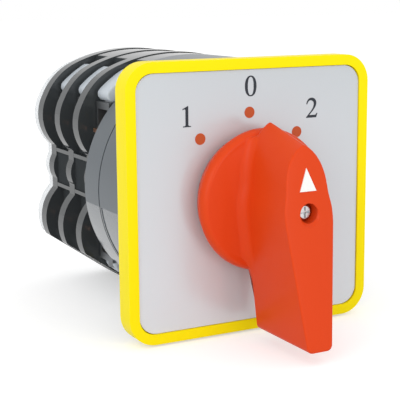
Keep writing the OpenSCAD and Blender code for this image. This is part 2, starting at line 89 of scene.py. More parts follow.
# %% [markdown]
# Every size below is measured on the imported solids, so a piece that is made here sits where the
# solid sits. A box is two corners, the lowest and the highest one.

# %% Measure the front of the switch
frame_low, frame_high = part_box("bezel_frame")
dial_low, dial_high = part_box("dial_plate")
handle_low, handle_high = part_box("handle")
screw_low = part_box("handle_screw")[0]
frame_w = frame_high.x - frame_low.x
frame_t = frame_high.y - frame_low.y
dial_front = dial_low.y
lowest = cad_box[0][2]
print(f"front frame {frame_w / MM:.1f} mm wide, {frame_t / MM:.1f} mm deep, dial at {dial_front / MM:.1f} mm")

# %% [markdown]
# The photograph looks at the front from the left and a little from above. The camera's angles,
# distance and lens were fitted to the corners of the frame and the edges of the round body.

# %% Place the camera
AZIMUTH, ELEVATION, ROLL = math.radians(27.58), math.radians(10.59), math.radians(-0.54)
DISTANCE = 257.7 * MM
TARGET = Vector((-10.82, 0, -0.8)) * MM
FOCAL_MM, SENSOR_MM, NEAREST = 99.41, 36, 10 * MM

back = Vector((-math.sin(AZIMUTH) * math.cos(ELEVATION), -math.cos(AZIMUTH) * math.cos(ELEVATION),
               math.sin(ELEVATION)))
level = Vector((math.cos(AZIMUTH), -math.sin(AZIMUTH), 0))
upright = back.cross(level)
right = math.cos(ROLL) * level + math.sin(ROLL) * upright
up = math.cos(ROLL) * upright - math.sin(ROLL) * level

lens = bpy.data.cameras.new("camera")
lens.sensor_width = SENSOR_MM
lens.lens = FOCAL_MM
lens.clip_start = NEAREST
camera = bpy.data.objects.new("camera", lens)
bpy.context.scene.collection.objects.link(camera)
camera.matrix_world = Matrix.Translation(TARGET + back * DISTANCE) @ Matrix((right, up, back)).transposed().to_4x4()
bpy.context.scene.camera = camera
bpy.context.scene.view_settings.view_transform = "Standard"
print("camera at", [round(v / MM, 1) for v in camera.location])

# %% [markdown]
# Node trees are easier to read when a value can be added and multiplied like a number. This small
# class wraps one output socket. Its arithmetic makes Math nodes, and node() makes any other node.

# %% A value in a node tree
def plug(tree, value, socket):
    """Feeds a number, a colour or a Value into a socket."""
    if isinstance(value, Value):
        tree.links.new(value.socket, socket)
    else:
        socket.default_value = value


class Value:
    def __init__(self, tree, socket):
        self.tree = tree
        self.socket = socket

    def node(self, kind, inputs, out=0, **settings):
        """Makes a node of any kind in the same tree and returns one of its outputs."""
        made = self.tree.nodes.new(kind)
        for name, setting in settings.items():
            setattr(made, name, setting)
        for key, value in inputs.items():
            plug(self.tree, value, made.inputs[key])
        return Value(self.tree, made.outputs[out])

    def math(self, operation, first, second):
        return self.node("ShaderNodeMath", {0: first, 1: second}, operation=operation)

    def __add__(self, other):
        return self.math("ADD", self, other)

    def __sub__(self, other):
        return self.math("SUBTRACT", self, other)

    def __mul__(self, other):
        return self.math("MULTIPLY", self, other)

    def __truediv__(self, other):
        return self.math("DIVIDE", self, other)

    def __rsub__(self, other):
        return self.math("SUBTRACT", other, self)

    def __rtruediv__(self, other):
        return self.math("DIVIDE", other, self)

    def __mod__(self, other):
        return self.math("FLOORED_MODULO", self, other)

    def __pow__(self, other):
        return self.math("POWER", self, other)

    def __abs__(self):
        return self.math("ABSOLUTE", self, 0.0)

    __radd__ = __add__
    __rmul__ = __mul__

    def above(self, other):
        return self.math("GREATER_THAN", self, other)

    def most(self, other):
        return self.math("MAXIMUM", self, other)

    def part(self, axis):
        """One of the three numbers of a vector: 0 for x, 1 for y, 2 for z."""
        return self.node("ShaderNodeSeparateXYZ", {0: self}, out=axis)

    def between(self, first, second):
        """Goes from the first number to the second one as this value goes from 0 to 1."""
        return self * (second - first) + first

    def clamped(self):
        return self.node("ShaderNodeClamp", {0: self})


# %% [markdown]
# The table and the room are white to the camera, and so they are in reflections. The world lights
# the object evenly, and the table still takes its shadow, because only a part of its brightness
# is its own.

# %% World and table
def seen_directly(tree):
    """1 for rays that the camera sends, also by way of a mirror or glass, and 0 for scattered light."""
    path = tree.nodes.new("ShaderNodeLightPath")
    seen = Value(tree, path.outputs["Is Camera Ray"])
    for ray in ("Is Glossy Ray", "Is Transmission Ray"):
        seen = seen.most(Value(tree, path.outputs[ray]))
    return seen


WORLD_LIGHT = 0.9
TABLE_GLOW, TABLE_GREY = 0.45, 0.72
HALF_TABLE = 3.0

world = bpy.data.worlds.new("studio")
bpy.context.scene.world = world
world.use_nodes = True
tree = world.node_tree
tree.nodes.clear()
room = tree.nodes.new("ShaderNodeBackground")
plug(tree, seen_directly(tree) * (1 - WORLD_LIGHT) + WORLD_LIGHT, room.inputs["Strength"])
tree.links.new(room.outputs[0], tree.nodes.new("ShaderNodeOutputWorld").inputs["Surface"])
room.inputs["Color"].default_value = (1, 1, 1, 1)

table_paint = bpy.data.materials.new("table_paint")
table_paint.use_nodes = True
tree = table_paint.node_tree
tree.nodes.clear()
matt = tree.nodes.new("ShaderNodeBsdfDiffuse")
matt.inputs["Color"].default_value = (TABLE_GREY, TABLE_GREY, TABLE_GREY, 1)
glow = tree.nodes.new("ShaderNodeEmission")
plug(tree, seen_directly(tree) * TABLE_GLOW, glow.inputs["Strength"])
both = tree.nodes.new("ShaderNodeAddShader")
tree.links.new(matt.outputs[0], both.inputs[0])
tree.links.new(glow.outputs[0], both.inputs[1])
tree.links.new(both.outputs[0], tree.nodes.new("ShaderNodeOutputMaterial").inputs["Surface"])

corners = [(x * HALF_TABLE, y * HALF_TABLE, lowest) for x, y in ((-1, -1), (1, -1), (1, 1), (-1, 1))]
table_mesh = bpy.data.meshes.new("table")
table_mesh.from_pydata(corners, [], [(0, 1, 2, 3)])
table_mesh.materials.append(table_paint)
table = bpy.data.objects.new("table", table_mesh)
bpy.context.scene.collection.objects.link(table)
print("table at", round(lowest / MM, 2), "mm")

# %% [markdown]
# Two soft boxes shape the light: a large one on the left, and a weaker one in front. Together with
# the world they light a white card to about its own white.

# %% Lamps
def soft_box(name, place, size, watts):
    """A square lamp that faces the origin."""
    lamp = bpy.data.lights.new(name, "AREA")
    lamp.shape = "SQUARE"
    lamp.size = size
    lamp.energy = watts
    holder = bpy.data.objects.new(name, lamp)
    bpy.context.scene.collection.objects.link(holder)
    holder.matrix_world = Matrix.Translation(place) @ Vector(place).to_track_quat("Z", "Y").to_matrix().to_4x4()


soft_box("key_lamp", (-0.65, -0.45, 0.28), size=0.5, watts=1.7)
soft_box("front_lamp", (0.1, -0.9, 0.18), size=0.4, watts=1.3)

# %% [markdown]
# Moulded plastic is never quite even: the colour drifts a little over a hand's width, the gloss
# varies as the melt met the tool, and a fine grain breaks the highlights. One recipe with a few
# numbers makes all the mouldings, and a second one makes the metals.

# %% Recipes for finishes
CLOUDS_PER_M, FLECKS_PER_M, STREAKS_PER_M = 45.0, 2500.0, 900.0
GRAIN_D, STREAK_D = 0.01 * MM, 0.004 * MM


def blank(name):
    """A material with only a Principled shader, its tree, and the object's own coordinates."""
    material = bpy.data.materials.new(name)
    material.use_nodes = True
    tree = material.node_tree
    shader = tree.nodes["Principled BSDF"]
    place = Value(tree, tree.nodes.new("ShaderNodeTexCoord").outputs["Object"])
    return material, shader, place


def noise(place, scale, detail=2.0):
    return place.node("ShaderNodeTexNoise", {"Vector": place, "Scale": scale, "Detail": detail})


def tinted(amount, colour):
    """A colour made brighter or darker by an amount around 1."""
    return amount.node("ShaderNodeVectorMath", {0: colour[:3], "Scale": amount}, operation="SCALE")


def bumpy(height, shader, depth):
    bump = height.node("ShaderNodeBump", {"Height": height, "Distance": depth})
    plug(height.tree, bump, shader.inputs["Normal"])


def moulding(name, colour, roughness, drift=0.05, shine=0.5, polished=None, polish=0.08, coat_ior=1.3):
    """Moulded plastic. Where polished(place) is 1, the tool was polished and the plastic has a clear gloss."""
    material, shader, place = blank(name)
    clouds = noise(place, CLOUDS_PER_M)
    flecks = noise(place, FLECKS_PER_M, 1.0)
    unevenness = (clouds - 0.5) * 0.08 + (flecks - 0.5) * 0.06
    brightness = 1 + (clouds - 0.5) * drift + (flecks - 0.5) * drift * 0.4
    plug(shader.id_data, tinted(brightness, colour), shader.inputs["Base Color"])
    if polished:
        gloss = polished(place)
        plug(shader.id_data, gloss.between(roughness, polish) + unevenness * 0.5, shader.inputs["Roughness"])
        plug(shader.id_data, gloss, shader.inputs["Coat Weight"])
        shader.inputs["Coat Roughness"].default_value = polish
        shader.inputs["Coat IOR"].default_value = coat_ior
    else:
        plug(shader.id_data, roughness + unevenness, shader.inputs["Roughness"])
    bumpy(flecks, shader, GRAIN_D)
    shader.inputs["Specular IOR Level"].default_value = shine
    return material


def metal(name, colour, roughness):
    """Plated or drawn metal with fine level streaks."""
    material, shader, place = blank(name)
    along = place.node("ShaderNodeMapping", {"Vector": place, "Scale": (1.0, 1.0, 12.0)})
    lines = noise(along, STREAKS_PER_M, 3.0)
    plug(shader.id_data, tinted(1 + (lines - 0.5) * 0.12, colour), shader.inputs["Base Color"])
    plug(shader.id_data, roughness + (lines - 0.5) * 0.15, shader.inputs["Roughness"])
    bumpy(lines, shader, STREAK_D)
    shader.inputs["Metallic"].default_value = 1.0
    return material


# %% [markdown]
# The rims, the shelves and the top and bottom curves of the stages, and the lower half of the round
# body, came from polished parts of the tool, so they are glossier than the rest.

# %% Where the stages and the body are polished
stage_low, stage_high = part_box("stage_housing_1")
next_low, next_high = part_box("stage_housing_2")
last_low, last_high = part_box("stage_housing_3")
RIM_T = 3.7 * MM
CROWN_R = 43 * MM
CROWN_H = 31.8 * MM
RIM_GLOSS = 0.9
SHELF_PAINT_X = 23.35 * MM
SKIN = 0.35 * MM
POCKET_TOP = -3.4 * MM
stage_pitch = next_low.y - stage_low.y
rim_back = last_high.y - last_low.y
crown_drop = CROWN_R - CROWN_H


def on_rim_or_crown(place):
    """1 on the curve that closes the stages' top and bottom, and a little less on their rims and shelves."""
    step = (place.part(1) - stage_low.y) % stage_pitch
    rim = step.above(rim_back - RIM_T - SKIN / 4) * (rim_back + SKIN / 4 - step).above(0.0)
    out = (place.part(0) ** 2 + (abs(place.part(2)) + crown_drop) ** 2) ** 0.5
    shelf = abs(place.part(0)).above(SHELF_PAINT_X)
    return (rim * RIM_GLOSS).most(out.above(CROWN_R - SKIN)).most(shelf * RIM_GLOSS)


def in_lower_field(place):
    """1 on the lower half of the round body."""
    return (POCKET_TOP - place.part(2)).above(0.0)


print(f"stages {stage_pitch / MM:.1f} mm apart, rims end {rim_back / MM:.1f} mm behind a stage's front")

# %% Finishes of the switch
yellow = moulding("frame_yellow", (0.98, 0.82, 0.002), 0.4, shine=0.1)
red = moulding("handle_red", (0.71, 0.057, 0.007), 0.36, drift=0.04, shine=0.15)
white = moulding("pointer_white", (0.88, 0.88, 0.85), 0.3)
grey = moulding("body_grey", (0.095, 0.112, 0.128), 0.3, shine=0.35, polished=in_lower_field, polish=0.12)
black = moulding("stage_black", (0.045, 0.05, 0.053), 0.75, shine=0.0, polished=on_rim_or_crown, coat_ior=1.5)
cream = moulding("cream_plastic", (0.72, 0.68, 0.56), 0.5)
ink = moulding("figure_ink", (0.03, 0.036, 0.045), 0.5, shine=0.2)
dot_paint = moulding("dot_paint", (0.5, 0.088, 0.025), 0.5, shine=0.2)
zinc = metal("zinc_plate", (0.62, 0.63, 0.64), 0.3)
# painted shade: the clamps' zinc gets a dark grey colour, so that the clamps inside the chambers look shaded
shade_dark_zinc = metal("clamp_zinc", (0.2, 0.21, 0.22), 0.5)
spring_steel = metal("spring_steel", (0.52, 0.52, 0.53), 0.25)
copper = metal("contact_copper", (0.78, 0.42, 0.27), 0.3)
print("finishes:", len(bpy.data.materials))

# %% [markdown]
# The dial is silver sheet under a clear matt lacquer: partly a mirror, so the red handle glows in
# it, and finely speckled by the flakes in the lacquer. Its colour is also made darker towards the
# top as painted shade. The covers of the terminals are milky plastic that lets a little light
# through.

# %% Dial lacquer and milky covers
FLAKES_PER_M, FLAKE_D = 5000.0, 0.004 * MM
SILVER, SHADE_PAINTED_ABOVE, LACQUER_ROUGH, SILVER_SHARE = (0.68, 0.725, 0.76), 0.2, 0.24, 0.17
COVER_ALPHA, CAP_ALPHA = 0.8, 0.45

silver, shader, place = blank("dial_silver")
flakes = noise(place, FLAKES_PER_M, 1.0)
rise = (place.part(2) / frame_w + 0.5).clamped()
# painted shade: the silver's colour gets darker towards the top of the dial
brightness = 1.0 - rise * SHADE_PAINTED_ABOVE + (flakes - 0.5) * 0.04
plug(shader.id_data, tinted(brightness, SILVER), shader.inputs["Base Color"])
plug(shader.id_data, LACQUER_ROUGH + (flakes - 0.5) * 0.1, shader.inputs["Roughness"])
bumpy(flakes, shader, FLAKE_D)
shader.inputs["Metallic"].default_value = SILVER_SHARE

milky = moulding("cover_milky", (0.66, 0.72, 0.78), 0.3, drift=0.08)
milky.node_tree.nodes["Principled BSDF"].inputs["Alpha"].default_value = COVER_ALPHA
clear_milky = moulding("cap_milky", (0.86, 0.9, 0.93), 0.3, drift=0.04)
clear_milky.node_tree.nodes["Principled BSDF"].inputs["Alpha"].default_value = CAP_ALPHA
print("dial and covers have their finish")

# %% [markdown]
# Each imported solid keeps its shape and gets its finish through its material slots. The slot name
# in the record says what it is made of.

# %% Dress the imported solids
finish_of = {
    "frame_yellow": yellow, "dial_silver": silver, "handle_red": red, "pointer_white": white,
    "steel": zinc, "spring_steel": spring_steel, "body_grey": grey, "stage_black": black,
    "cream_plastic": cream, "contact_copper": copper, "clamp_zinc": shade_dark_zinc, "cover_milky": milky,
}
for subpart in frame["record"]["subparts"]:
    for slot in nodes[subpart["node"]].material_slots:
        slot.material = finish_of[subpart["material_slot"]]

# %% [markdown]
# New pieces are plain meshes at the origin with their place in their points. These helpers make
# one from points and faces, cut one with another, and set where its shading breaks.

# %% Helpers for new pieces
def piece(name, points, faces, material, slot, body, sharp=35):
    """A new mesh piece with the given material as its finish, which rides on a body. The slot argument is not used."""
    mesh = bpy.data.meshes.new(name)
    mesh.from_pydata(points, [], faces)
    made = bpy.data.objects.new(name, mesh)
    bpy.context.scene.collection.objects.link(made)
    return settle(made, material, body, sharp)


def settle(made, material, body, sharp=35, rides=True):
    """Closes a mesh, turns its faces outwards, smooths it up to an angle and lets it ride."""
    form = bmesh.new()
    form.from_mesh(made.data)
    bmesh.ops.remove_doubles(form, verts=form.verts, dist=0.002 * MM)
    bmesh.ops.recalc_face_normals(form, faces=form.faces)
    form.to_mesh(made.data)
    form.free()
    made.data.shade_smooth()
    made.data.set_sharp_from_angle(angle=math.radians(sharp))
    made.data.materials.clear()
    made.data.materials.append(material)
    if rides:
        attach(made, body)
    return made


def frozen(made):
    """Turns what the modifiers show into the object's own plain mesh."""
    shown = made.evaluated_get(bpy.context.evaluated_depsgraph_get())
    made.data = bpy.data.meshes.new_from_object(shown)
    made.modifiers.clear()
    return made


def tube_faces(rings, count):
    """Faces between rings of points, with a cap at each end."""
    sides = [(a * count + i, a * count + (i + 1) % count, (a + 1) * count + (i + 1) % count, (a + 1) * count + i)
             for a in range(rings - 1) for i in range(count)]
    return sides + [tuple(range(count)), tuple(range((rings - 1) * count, rings * count))]


# %% [markdown]
# The front frame is one band swept round a square with rounded corners. Geometry Nodes do this
# well: a filleted square is the path, a filleted rectangle is the band's section, and only the
# front edges of the section get the large radius. A filled plate behind the dial joins the band.

# %% A tree for the front frame
def new_tree(name, sizes):
    """A geometry tree with a named number input for each size."""
    tree = bpy.data.node_groups.new(name, "GeometryNodeTree")
    tree.interface.new_socket("Geometry", in_out="OUTPUT", socket_type="NodeSocketGeometry")
    for size in sizes:
        tree.interface.new_socket(size, in_out="INPUT", socket_type="NodeSocketFloat")
    entry = tree.nodes.new("NodeGroupInput")
    return tree, {size: Value(tree, entry.outputs[size]) for size in sizes}


def close_tree(tree, geometry, material):
    """Ends a tree: instances become real and take their material."""
    real = geometry.node("GeometryNodeRealizeInstances", {0: geometry})
    painted = real.node("GeometryNodeSetMaterial", {"Geometry": real, "Material": material})
    tree.links.new(painted.socket, tree.nodes.new("NodeGroupOutput").inputs[0])


def grown(name, tree, sizes, material, body, sharp=35, rides=True):
    """Runs a tree with its sizes set and keeps the result as a plain mesh piece."""
    made = bpy.data.objects.new(name, bpy.data.meshes.new(name))
    bpy.context.scene.collection.objects.link(made)
    modifier = made.modifiers.new(name, "NODES")
    modifier.node_group = tree
    for item in tree.interface.items_tree:
        if item.in_out == "INPUT":
            modifier[item.identifier] = float(sizes[item.name])
    return settle(frozen(made), material, body, sharp, rides)


def filleted_square(width, height, radius):
    """A rectangle with rounded corners, as a curve round the origin."""
    square = width.node("GeometryNodeCurvePrimitiveQuadrilateral", {"Width": width, "Height": height})
    fillet = square.tree.nodes.new("GeometryNodeFilletCurve")
    fillet.mode = "POLY"
    fillet.inputs["Count"].default_value = 10
    plug(square.tree, square, fillet.inputs["Curve"])
    plug(square.tree, radius, fillet.inputs["Radius"])
    return Value(square.tree, fillet.outputs[0])


FRAME_SIZES = ["Width", "Depth", "Band", "Corner", "Edge", "Bed front", "Bed back", "Bore"]
tree, size = new_tree("front_frame_tree", FRAME_SIZES)
path_w = size["Width"] - size["Band"]
path = filleted_square(path_w, path_w, size["Corner"] - size["Band"] / 2)
path = path.node("GeometryNodeSetCurveNormal", {"Curve": path}, mode="Z_UP")
in_front = path.node("GeometryNodeInputPosition", {}).part(1).above(0.0)
section = filleted_square(size["Band"], size["Depth"], in_front * size["Edge"] * 0.94 + size["Edge"] * 0.06)
band = path.node("GeometryNodeCurveToMesh", {"Curve": path, "Profile Curve": section})
bed_w = size["Width"] - size["Band"] * 1.5
outline = filleted_square(bed_w, bed_w, size["Corner"] - size["Band"] * 0.75)
bore = outline.node("GeometryNodeCurvePrimitiveCircle", {"Resolution": 64, "Radius": size["Bore"]})
rims = outline.node("GeometryNodeJoinGeometry", {0: outline})
tree.links.new(bore.socket, rims.socket.node.inputs[0])
sheet = rims.node("GeometryNodeFillCurve", {0: rims})
bed_t = size["Bed back"] - size["Bed front"]
drop = size["Depth"] / 2 - size["Bed front"]
raised = sheet.node("GeometryNodeExtrudeMesh", {"Mesh": sheet, "Offset Scale": bed_t, "Individual": False})
under = sheet.node("GeometryNodeFlipFaces", {0: sheet})
bed = raised.node("GeometryNodeJoinGeometry", {0: raised})
tree.links.new(under.socket, bed.socket.node.inputs[0])
low_end = drop.node("ShaderNodeCombineXYZ", {"Z": drop - bed_t})
bed = bed.node("GeometryNodeTransform", {"Geometry": bed, "Translation": low_end})
whole = bed.node("GeometryNodeJoinGeometry", {0: bed})
tree.links.new(band.socket, whole.socket.node.inputs[0])
rear_up = size["Depth"].node("ShaderNodeCombineXYZ", {"Y": size["Depth"] * -0.5})
stood = whole.node("GeometryNodeTransform", {"Geometry": whole, "Rotation": (math.pi / 2, 0, 0), "Translation": rear_up})
close_tree(tree, stood, yellow)
print("front frame tree has", len(tree.nodes), "nodes")

# %% Grow the front frame
FRAME_CORNER_R = 6.5 * MM
BAND_W = 2.45 * MM
EDGE_R = 0.9 * MM
POCKET_D = 0.6 * MM
BORE_R = 8.3 * MM
front_frame = grown("front_frame", tree, {
    "Width": frame_w, "Depth": frame_t, "Band": BAND_W, "Corner": FRAME_CORNER_R, "Edge": EDGE_R,
    "Bed front": frame_t + dial_high.y, "Bed back": frame_t - POCKET_D, "Bore": BORE_R,
}, yellow, "switch_body")
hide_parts("bezel_frame")
print("front frame:", len(front_frame.data.polygons), "faces,", [round(v / MM, 2) for v in front_frame.dimensions])

# %% [markdown]
# The print on the dial is three dots and three figures. The dots sit on an arc at the angles of
# the switch's positions, so a tree places one thin disc on each point of that arc.

# %% Dots on the dial
STEP_ANGLE = math.radians(45)
PRINT_CENTRE = Vector((-0.83, 1.52)) * MM
PRINT_T = 0.03 * MM
DOT_RING_R, DOT_R = 18.13 * MM, 1.33 * MM

tree, size = new_tree("dot_tree", ["Ring", "Dot", "Thickness", "Step"])
arc = size["Ring"].node("GeometryNodeCurveArc", {
    "Resolution": 3, "Radius": size["Ring"], "Start Angle": math.pi / 2 - size["Step"], "Sweep Angle": size["Step"] * 2})
dot = arc.node("GeometryNodeMeshCylinder", {"Vertices": 32, "Radius": size["Dot"], "Depth": size["Thickness"]})
places = arc.node("GeometryNodeCurveToPoints", {"Curve": arc, "Count": 3})
dots = places.node("GeometryNodeInstanceOnPoints", {"Points": places, "Instance": dot})
stood = dots.node("GeometryNodeTransform", {
    "Geometry": dots, "Rotation": (math.pi / 2, 0, 0),
    "Translation": (PRINT_CENTRE.x, dial_front - PRINT_T / 2, PRINT_CENTRE.y)})
close_tree(tree, stood, dot_paint)
position_dots = grown("position_dots", tree, {
    "Ring": DOT_RING_R, "Dot": DOT_R, "Thickness": PRINT_T, "Step": STEP_ANGLE}, dot_paint, "switch_body")
print("dots:", len(position_dots.data.polygons), "faces")

# %% [markdown]
# The figures 1, 0 and 2 have thick and thin strokes and small feet. Each is drawn as an outline
# in units of its height: a pair is a corner, and six numbers are a curve with its two handles.

# %% Figures on the dial
ONE = [[(0.58, 0.0), (0.58, 0.025), (0.47, 0.025, 0.44, 0.04, 0.44, 0.12), (0.44, 1.0), (0.42, 1.0),
        (0.15, 0.865), (0.15, 0.845),
        (0.29, 0.895, 0.31, 0.865, 0.31, 0.8), (0.31, 0.12), (0.31, 0.04, 0.28, 0.025, 0.17, 0.025), (0.17, 0.0)]]
ZERO = [[(0.36, 1.0), (0.57, 1.0, 0.68, 0.78, 0.68, 0.49), (0.68, 0.2, 0.57, -0.01, 0.36, -0.01),
         (0.15, -0.01, 0.04, 0.2, 0.04, 0.49), (0.04, 0.78, 0.15, 1.0, 0.36, 1.0)],
        [(0.36, 0.96), (0.24, 0.96, 0.18, 0.79, 0.18, 0.49), (0.18, 0.19, 0.24, 0.03, 0.36, 0.03),
         (0.48, 0.03, 0.54, 0.19, 0.54, 0.49), (0.54, 0.79, 0.48, 0.96, 0.36, 0.96)]]
TWO = [[(0.70, 0.2), (0.68, 0.205), (0.62, 0.12, 0.6, 0.11, 0.54, 0.11), (0.19, 0.11), (0.44, 0.37),
        (0.57, 0.51, 0.63, 0.62, 0.63, 0.74),
        (0.63, 0.89, 0.51, 1.0, 0.35, 1.0), (0.19, 1.0, 0.09, 0.9, 0.05, 0.7), (0.08, 0.695), (0.13, 0.83, 0.19, 0.89, 0.29, 0.89),
        (0.42, 0.89, 0.5, 0.81, 0.5, 0.68), (0.5, 0.57, 0.43, 0.43, 0.31, 0.3), (0.045, 0.02), (0.045, 0.0), (0.63, 0.0)]]
FIGURE_H = 4.6 * MM
BOLDER = 0.06 * MM
FIGURES = (("figure_1", ONE, (-17.0, 19.6)), ("figure_0", ZERO, (-0.5, 25.7)), ("figure_2", TWO, (16.2, 19.8)))


def traced(contour, steps=8):
    """The points along an outline of corners and curves."""
    points = [Vector(contour[0])]
    for part in contour[1:]:
        if len(part) == 2:
            points.append(Vector(part))
            continue
        start, a, b, end = points[-1], Vector(part[0:2]), Vector(part[2:4]), Vector(part[4:6])
        for k in range(1, steps + 1):
            t = k / steps
            points.append(start * (1 - t) ** 3 + a * 3 * t * (1 - t) ** 2 + b * 3 * t * t * (1 - t) + end * t ** 3)
    return points


def printed_figure(name, contours, centre):
    """A thin flat figure on the front of the dial. Its centre is in millimetres."""
    drawing = bpy.data.curves.new(name, "CURVE")
    drawing.dimensions = "2D"
    drawing.fill_mode = "BOTH"
    drawing.extrude = PRINT_T / 2
    drawing.offset = BOLDER
    traces = [traced(contour) for contour in contours]
    middle = (min(p.x for p in traces[0]) + max(p.x for p in traces[0])) / 2
    for trace in traces:
        line = drawing.splines.new("POLY")
        line.points.add(len(trace) - 1)
        line.use_cyclic_u = True
        for point, p in zip(line.points, trace):
            point.co = ((p.x - middle) * FIGURE_H, (p.y - 0.5) * FIGURE_H, 0, 1)
    made = bpy.data.objects.new(name, drawing)
    bpy.context.scene.collection.objects.link(made)
    flat = bpy.data.meshes.new_from_object(made)
    bpy.data.objects.remove(made)
    move = Matrix.Translation((centre[0] * MM, dial_front - PRINT_T / 2, centre[1] * MM))
    flat.transform(move @ Matrix.Rotation(math.pi / 2, 4, "X"))
    made = bpy.data.objects.new(name, flat)
    bpy.context.scene.collection.objects.link(made)
    return settle(made, ink, "switch_body")


for name, contours, centre in FIGURES:
    figure = printed_figure(name, contours, centre)
    print(name, [round(v / MM, 2) for v in figure.dimensions])

# %% [markdown]
# The handle is the piece that the eye goes to: a flared disc and a grip blade that grows out of it
# with a hollow root, rises to a point at the top, leans forward and narrows to its tail. The blade
# is a loft: a rule gives its half width at each height, and rings of that outline follow each
# other from the disc to the face, first drawn in along a quarter circle and then rounded over.

# %% Sizes of the handle
DISC_R, DISC_REAR_R = handle_high.x, 15.1 * MM
DISC_T = 5.9 * MM
DISC_EDGE_W, DISC_EDGE_L = 1.4 * MM, 2.2 * MM
disc_back = handle_high.y
disc_front = disc_back - DISC_T
TIP_H, APEX_H, PROW_FOOT_H = 14.6 * MM, handle_high.z, 15.8 * MM
APEX_OUT, PROW_FOOT_IN = 1.1 * MM, 1.7 * MM
tail_l = -handle_low.z
BLADE_W, TAIL_W, ARCH_W = 12.2 * MM, 6.2 * MM, 10.8 * MM
LEAN = math.tan(math.radians(9.4))
ROOT_R, FACE_R, TAIL_CORNER_R = 2.8 * MM, 0.5 * MM, 1.4 * MM
TAIL_LIFT = 0.8 * MM
INSIDE_BOX = 0.01 * MM
FACE_AT_AXIS = handle_low.y + INSIDE_BOX + (tail_l - FACE_R) * LEAN
WELL_R = 2.2 * MM


def blend(t):
    """Runs smoothly from 0 to 1 as t does."""
    t = min(1.0, max(0.0, t))
    return t * t * (3 - 2 * t)


def blade_half(z, top):
    """Half width of the blade at height z under a point at height top."""
    if z < -2 * MM:
        return TAIL_W / 2 + (BLADE_W - TAIL_W) / 2 * (z + tail_l) / (tail_l - 2 * MM)
    arch = ARCH_W / 2 * max(0.0, 1 - (max(0.0, z) / top) ** 3.5) ** 0.75
    return arch + (BLADE_W - ARCH_W) / 2 * blend((5 * MM - z) / (5 * MM))


def foot_spread(z):
    """How far the root may spread over the disc at height z."""
    edge = DISC_R - DISC_EDGE_W
    return max(0.0, min(ROOT_R, math.sqrt(max(0.0, edge * edge - z * z)) - blade_half(z, TIP_H)))


def clear_of_dial(y, z):
    """Moves a point under the tail forward, so that a gap stays between the tail and the dial."""
    under = disc_front - TAIL_LIFT + (y - disc_front - PROW_FOOT_IN) / 4
    return min(y, y + (under - y) * blend((3 * MM - DISC_R - z) / (5 * MM)))


def blade_ring(y, slope, top, spread, inset, steps=44):
    """One outline of the blade, up its right side and down its left."""
    low, peak = -tail_l + inset + TAIL_CORNER_R, top - inset
    corner_x = blade_half(low, peak) - inset - TAIL_CORNER_R
    side = [(corner_x + TAIL_CORNER_R * math.sin(a), low - TAIL_CORNER_R * math.cos(a))
            for a in (math.radians(15 * k) for k in range(6))]
    for k in range(steps + 1):
        turn = math.pi / 2 * k / steps
        z = low + (peak - low) * math.sin(turn)
        drawn_in = inset * math.sqrt(math.cos(turn)) if k < steps else 0.0
        side.append((blade_half(z, peak) + spread * foot_spread(z) - drawn_in, z))
    points = side + [(-x, z) for x, z in reversed(side[:-1])]
    return [(x, clear_of_dial(y + slope * z, z), z) for x, z in points]


def prow_top(y):
    """Height of the blade's point in the plane y: up from the disc to the apex, then down to the face."""
    foot_y, apex_y, face_y = disc_front + PROW_FOOT_IN, disc_front - APEX_OUT, FACE_AT_AXIS + TIP_H * LEAN
    if y > apex_y:
        return PROW_FOOT_H + (APEX_H - PROW_FOOT_H) * (foot_y - y) / (foot_y - apex_y)
    return APEX_H + (TIP_H - APEX_H) * (apex_y - y) / (apex_y - face_y)


# %% Loft the blade
FOOT_STEPS, FACE_STEPS = 12, 6
rings = [blade_ring(disc_front + PROW_FOOT_IN, 0.0, PROW_FOOT_H, 1.0, 0.0)]
for k in range(FOOT_STEPS + 1):
    turn = math.pi / 2 * k / FOOT_STEPS
    y = disc_front + 0.1 * MM - ROOT_R * (1 - math.cos(turn))
    rings.append(blade_ring(y, 0.0, prow_top(y), 1 - math.sin(turn), 0.0))
for k in range(FACE_STEPS + 1):
    turn = math.pi / 2 * k / FACE_STEPS
    y = FACE_AT_AXIS + FACE_R * (1 - math.sin(turn))
    rings.append(blade_ring(y, LEAN, TIP_H, 0.0, FACE_R * (1 - math.cos(turn))))
count = len(rings[0])
blade_points = [p for ring in rings for p in ring]
blade_faces = tube_faces(len(rings), count)
print("blade:", len(rings), "rings of", count, "points")

# %% [markdown]
# The disc is turned from a short profile: its rear edge, the flare, and the rounded front edge.
# The well for the screw and the bed for the pointer are cut into the blade's face afterwards.

# %% Turn the disc and join it to the blade
def turned(profile, count=128):
    """Points and faces of a profile of radius and distance along Y, turned about the Y axis."""
    turns = [2 * math.pi * i / count for i in range(count)]
    points = [(r * math.cos(a), y, r * math.sin(a)) for r, y in profile for a in turns]
    return points, tube_faces(len(profile), count)


edge = [(DISC_R - DISC_EDGE_W + DISC_EDGE_W * math.cos(a), disc_front + DISC_EDGE_L - DISC_EDGE_L * math.sin(a))
        for a in (math.radians(10 * k) for k in range(10))]
disc_points, disc_faces = turned([(DISC_REAR_R - 0.3 * MM, disc_back), (DISC_REAR_R, disc_back - 0.3 * MM)] + edge)


def loose(name, points, faces):
    """A mesh object for a modifier to work with."""
    mesh = bpy.data.meshes.new(name)
    mesh.from_pydata(points, [], faces)
    form = bmesh.new()
    form.from_mesh(mesh)
    bmesh.ops.recalc_face_normals(form, faces=form.faces)
    form.to_mesh(mesh)
    form.free()
    made = bpy.data.objects.new(name, mesh)
    bpy.context.scene.collection.objects.link(made)
    return made


def combined(made, other, operation):
    """Adds another closed mesh to this one, or cuts it out."""
    modifier = made.modifiers.new("combine", "BOOLEAN")
    modifier.operation = operation
    modifier.solver = "EXACT"
    modifier.object = other
    frozen(made)
    bpy.data.objects.remove(other)
    return made


grip = combined(loose("grip", blade_points, blade_faces), loose("disc", disc_points, disc_faces), "UNION")
print("grip:", len(grip.data.polygons), "faces")

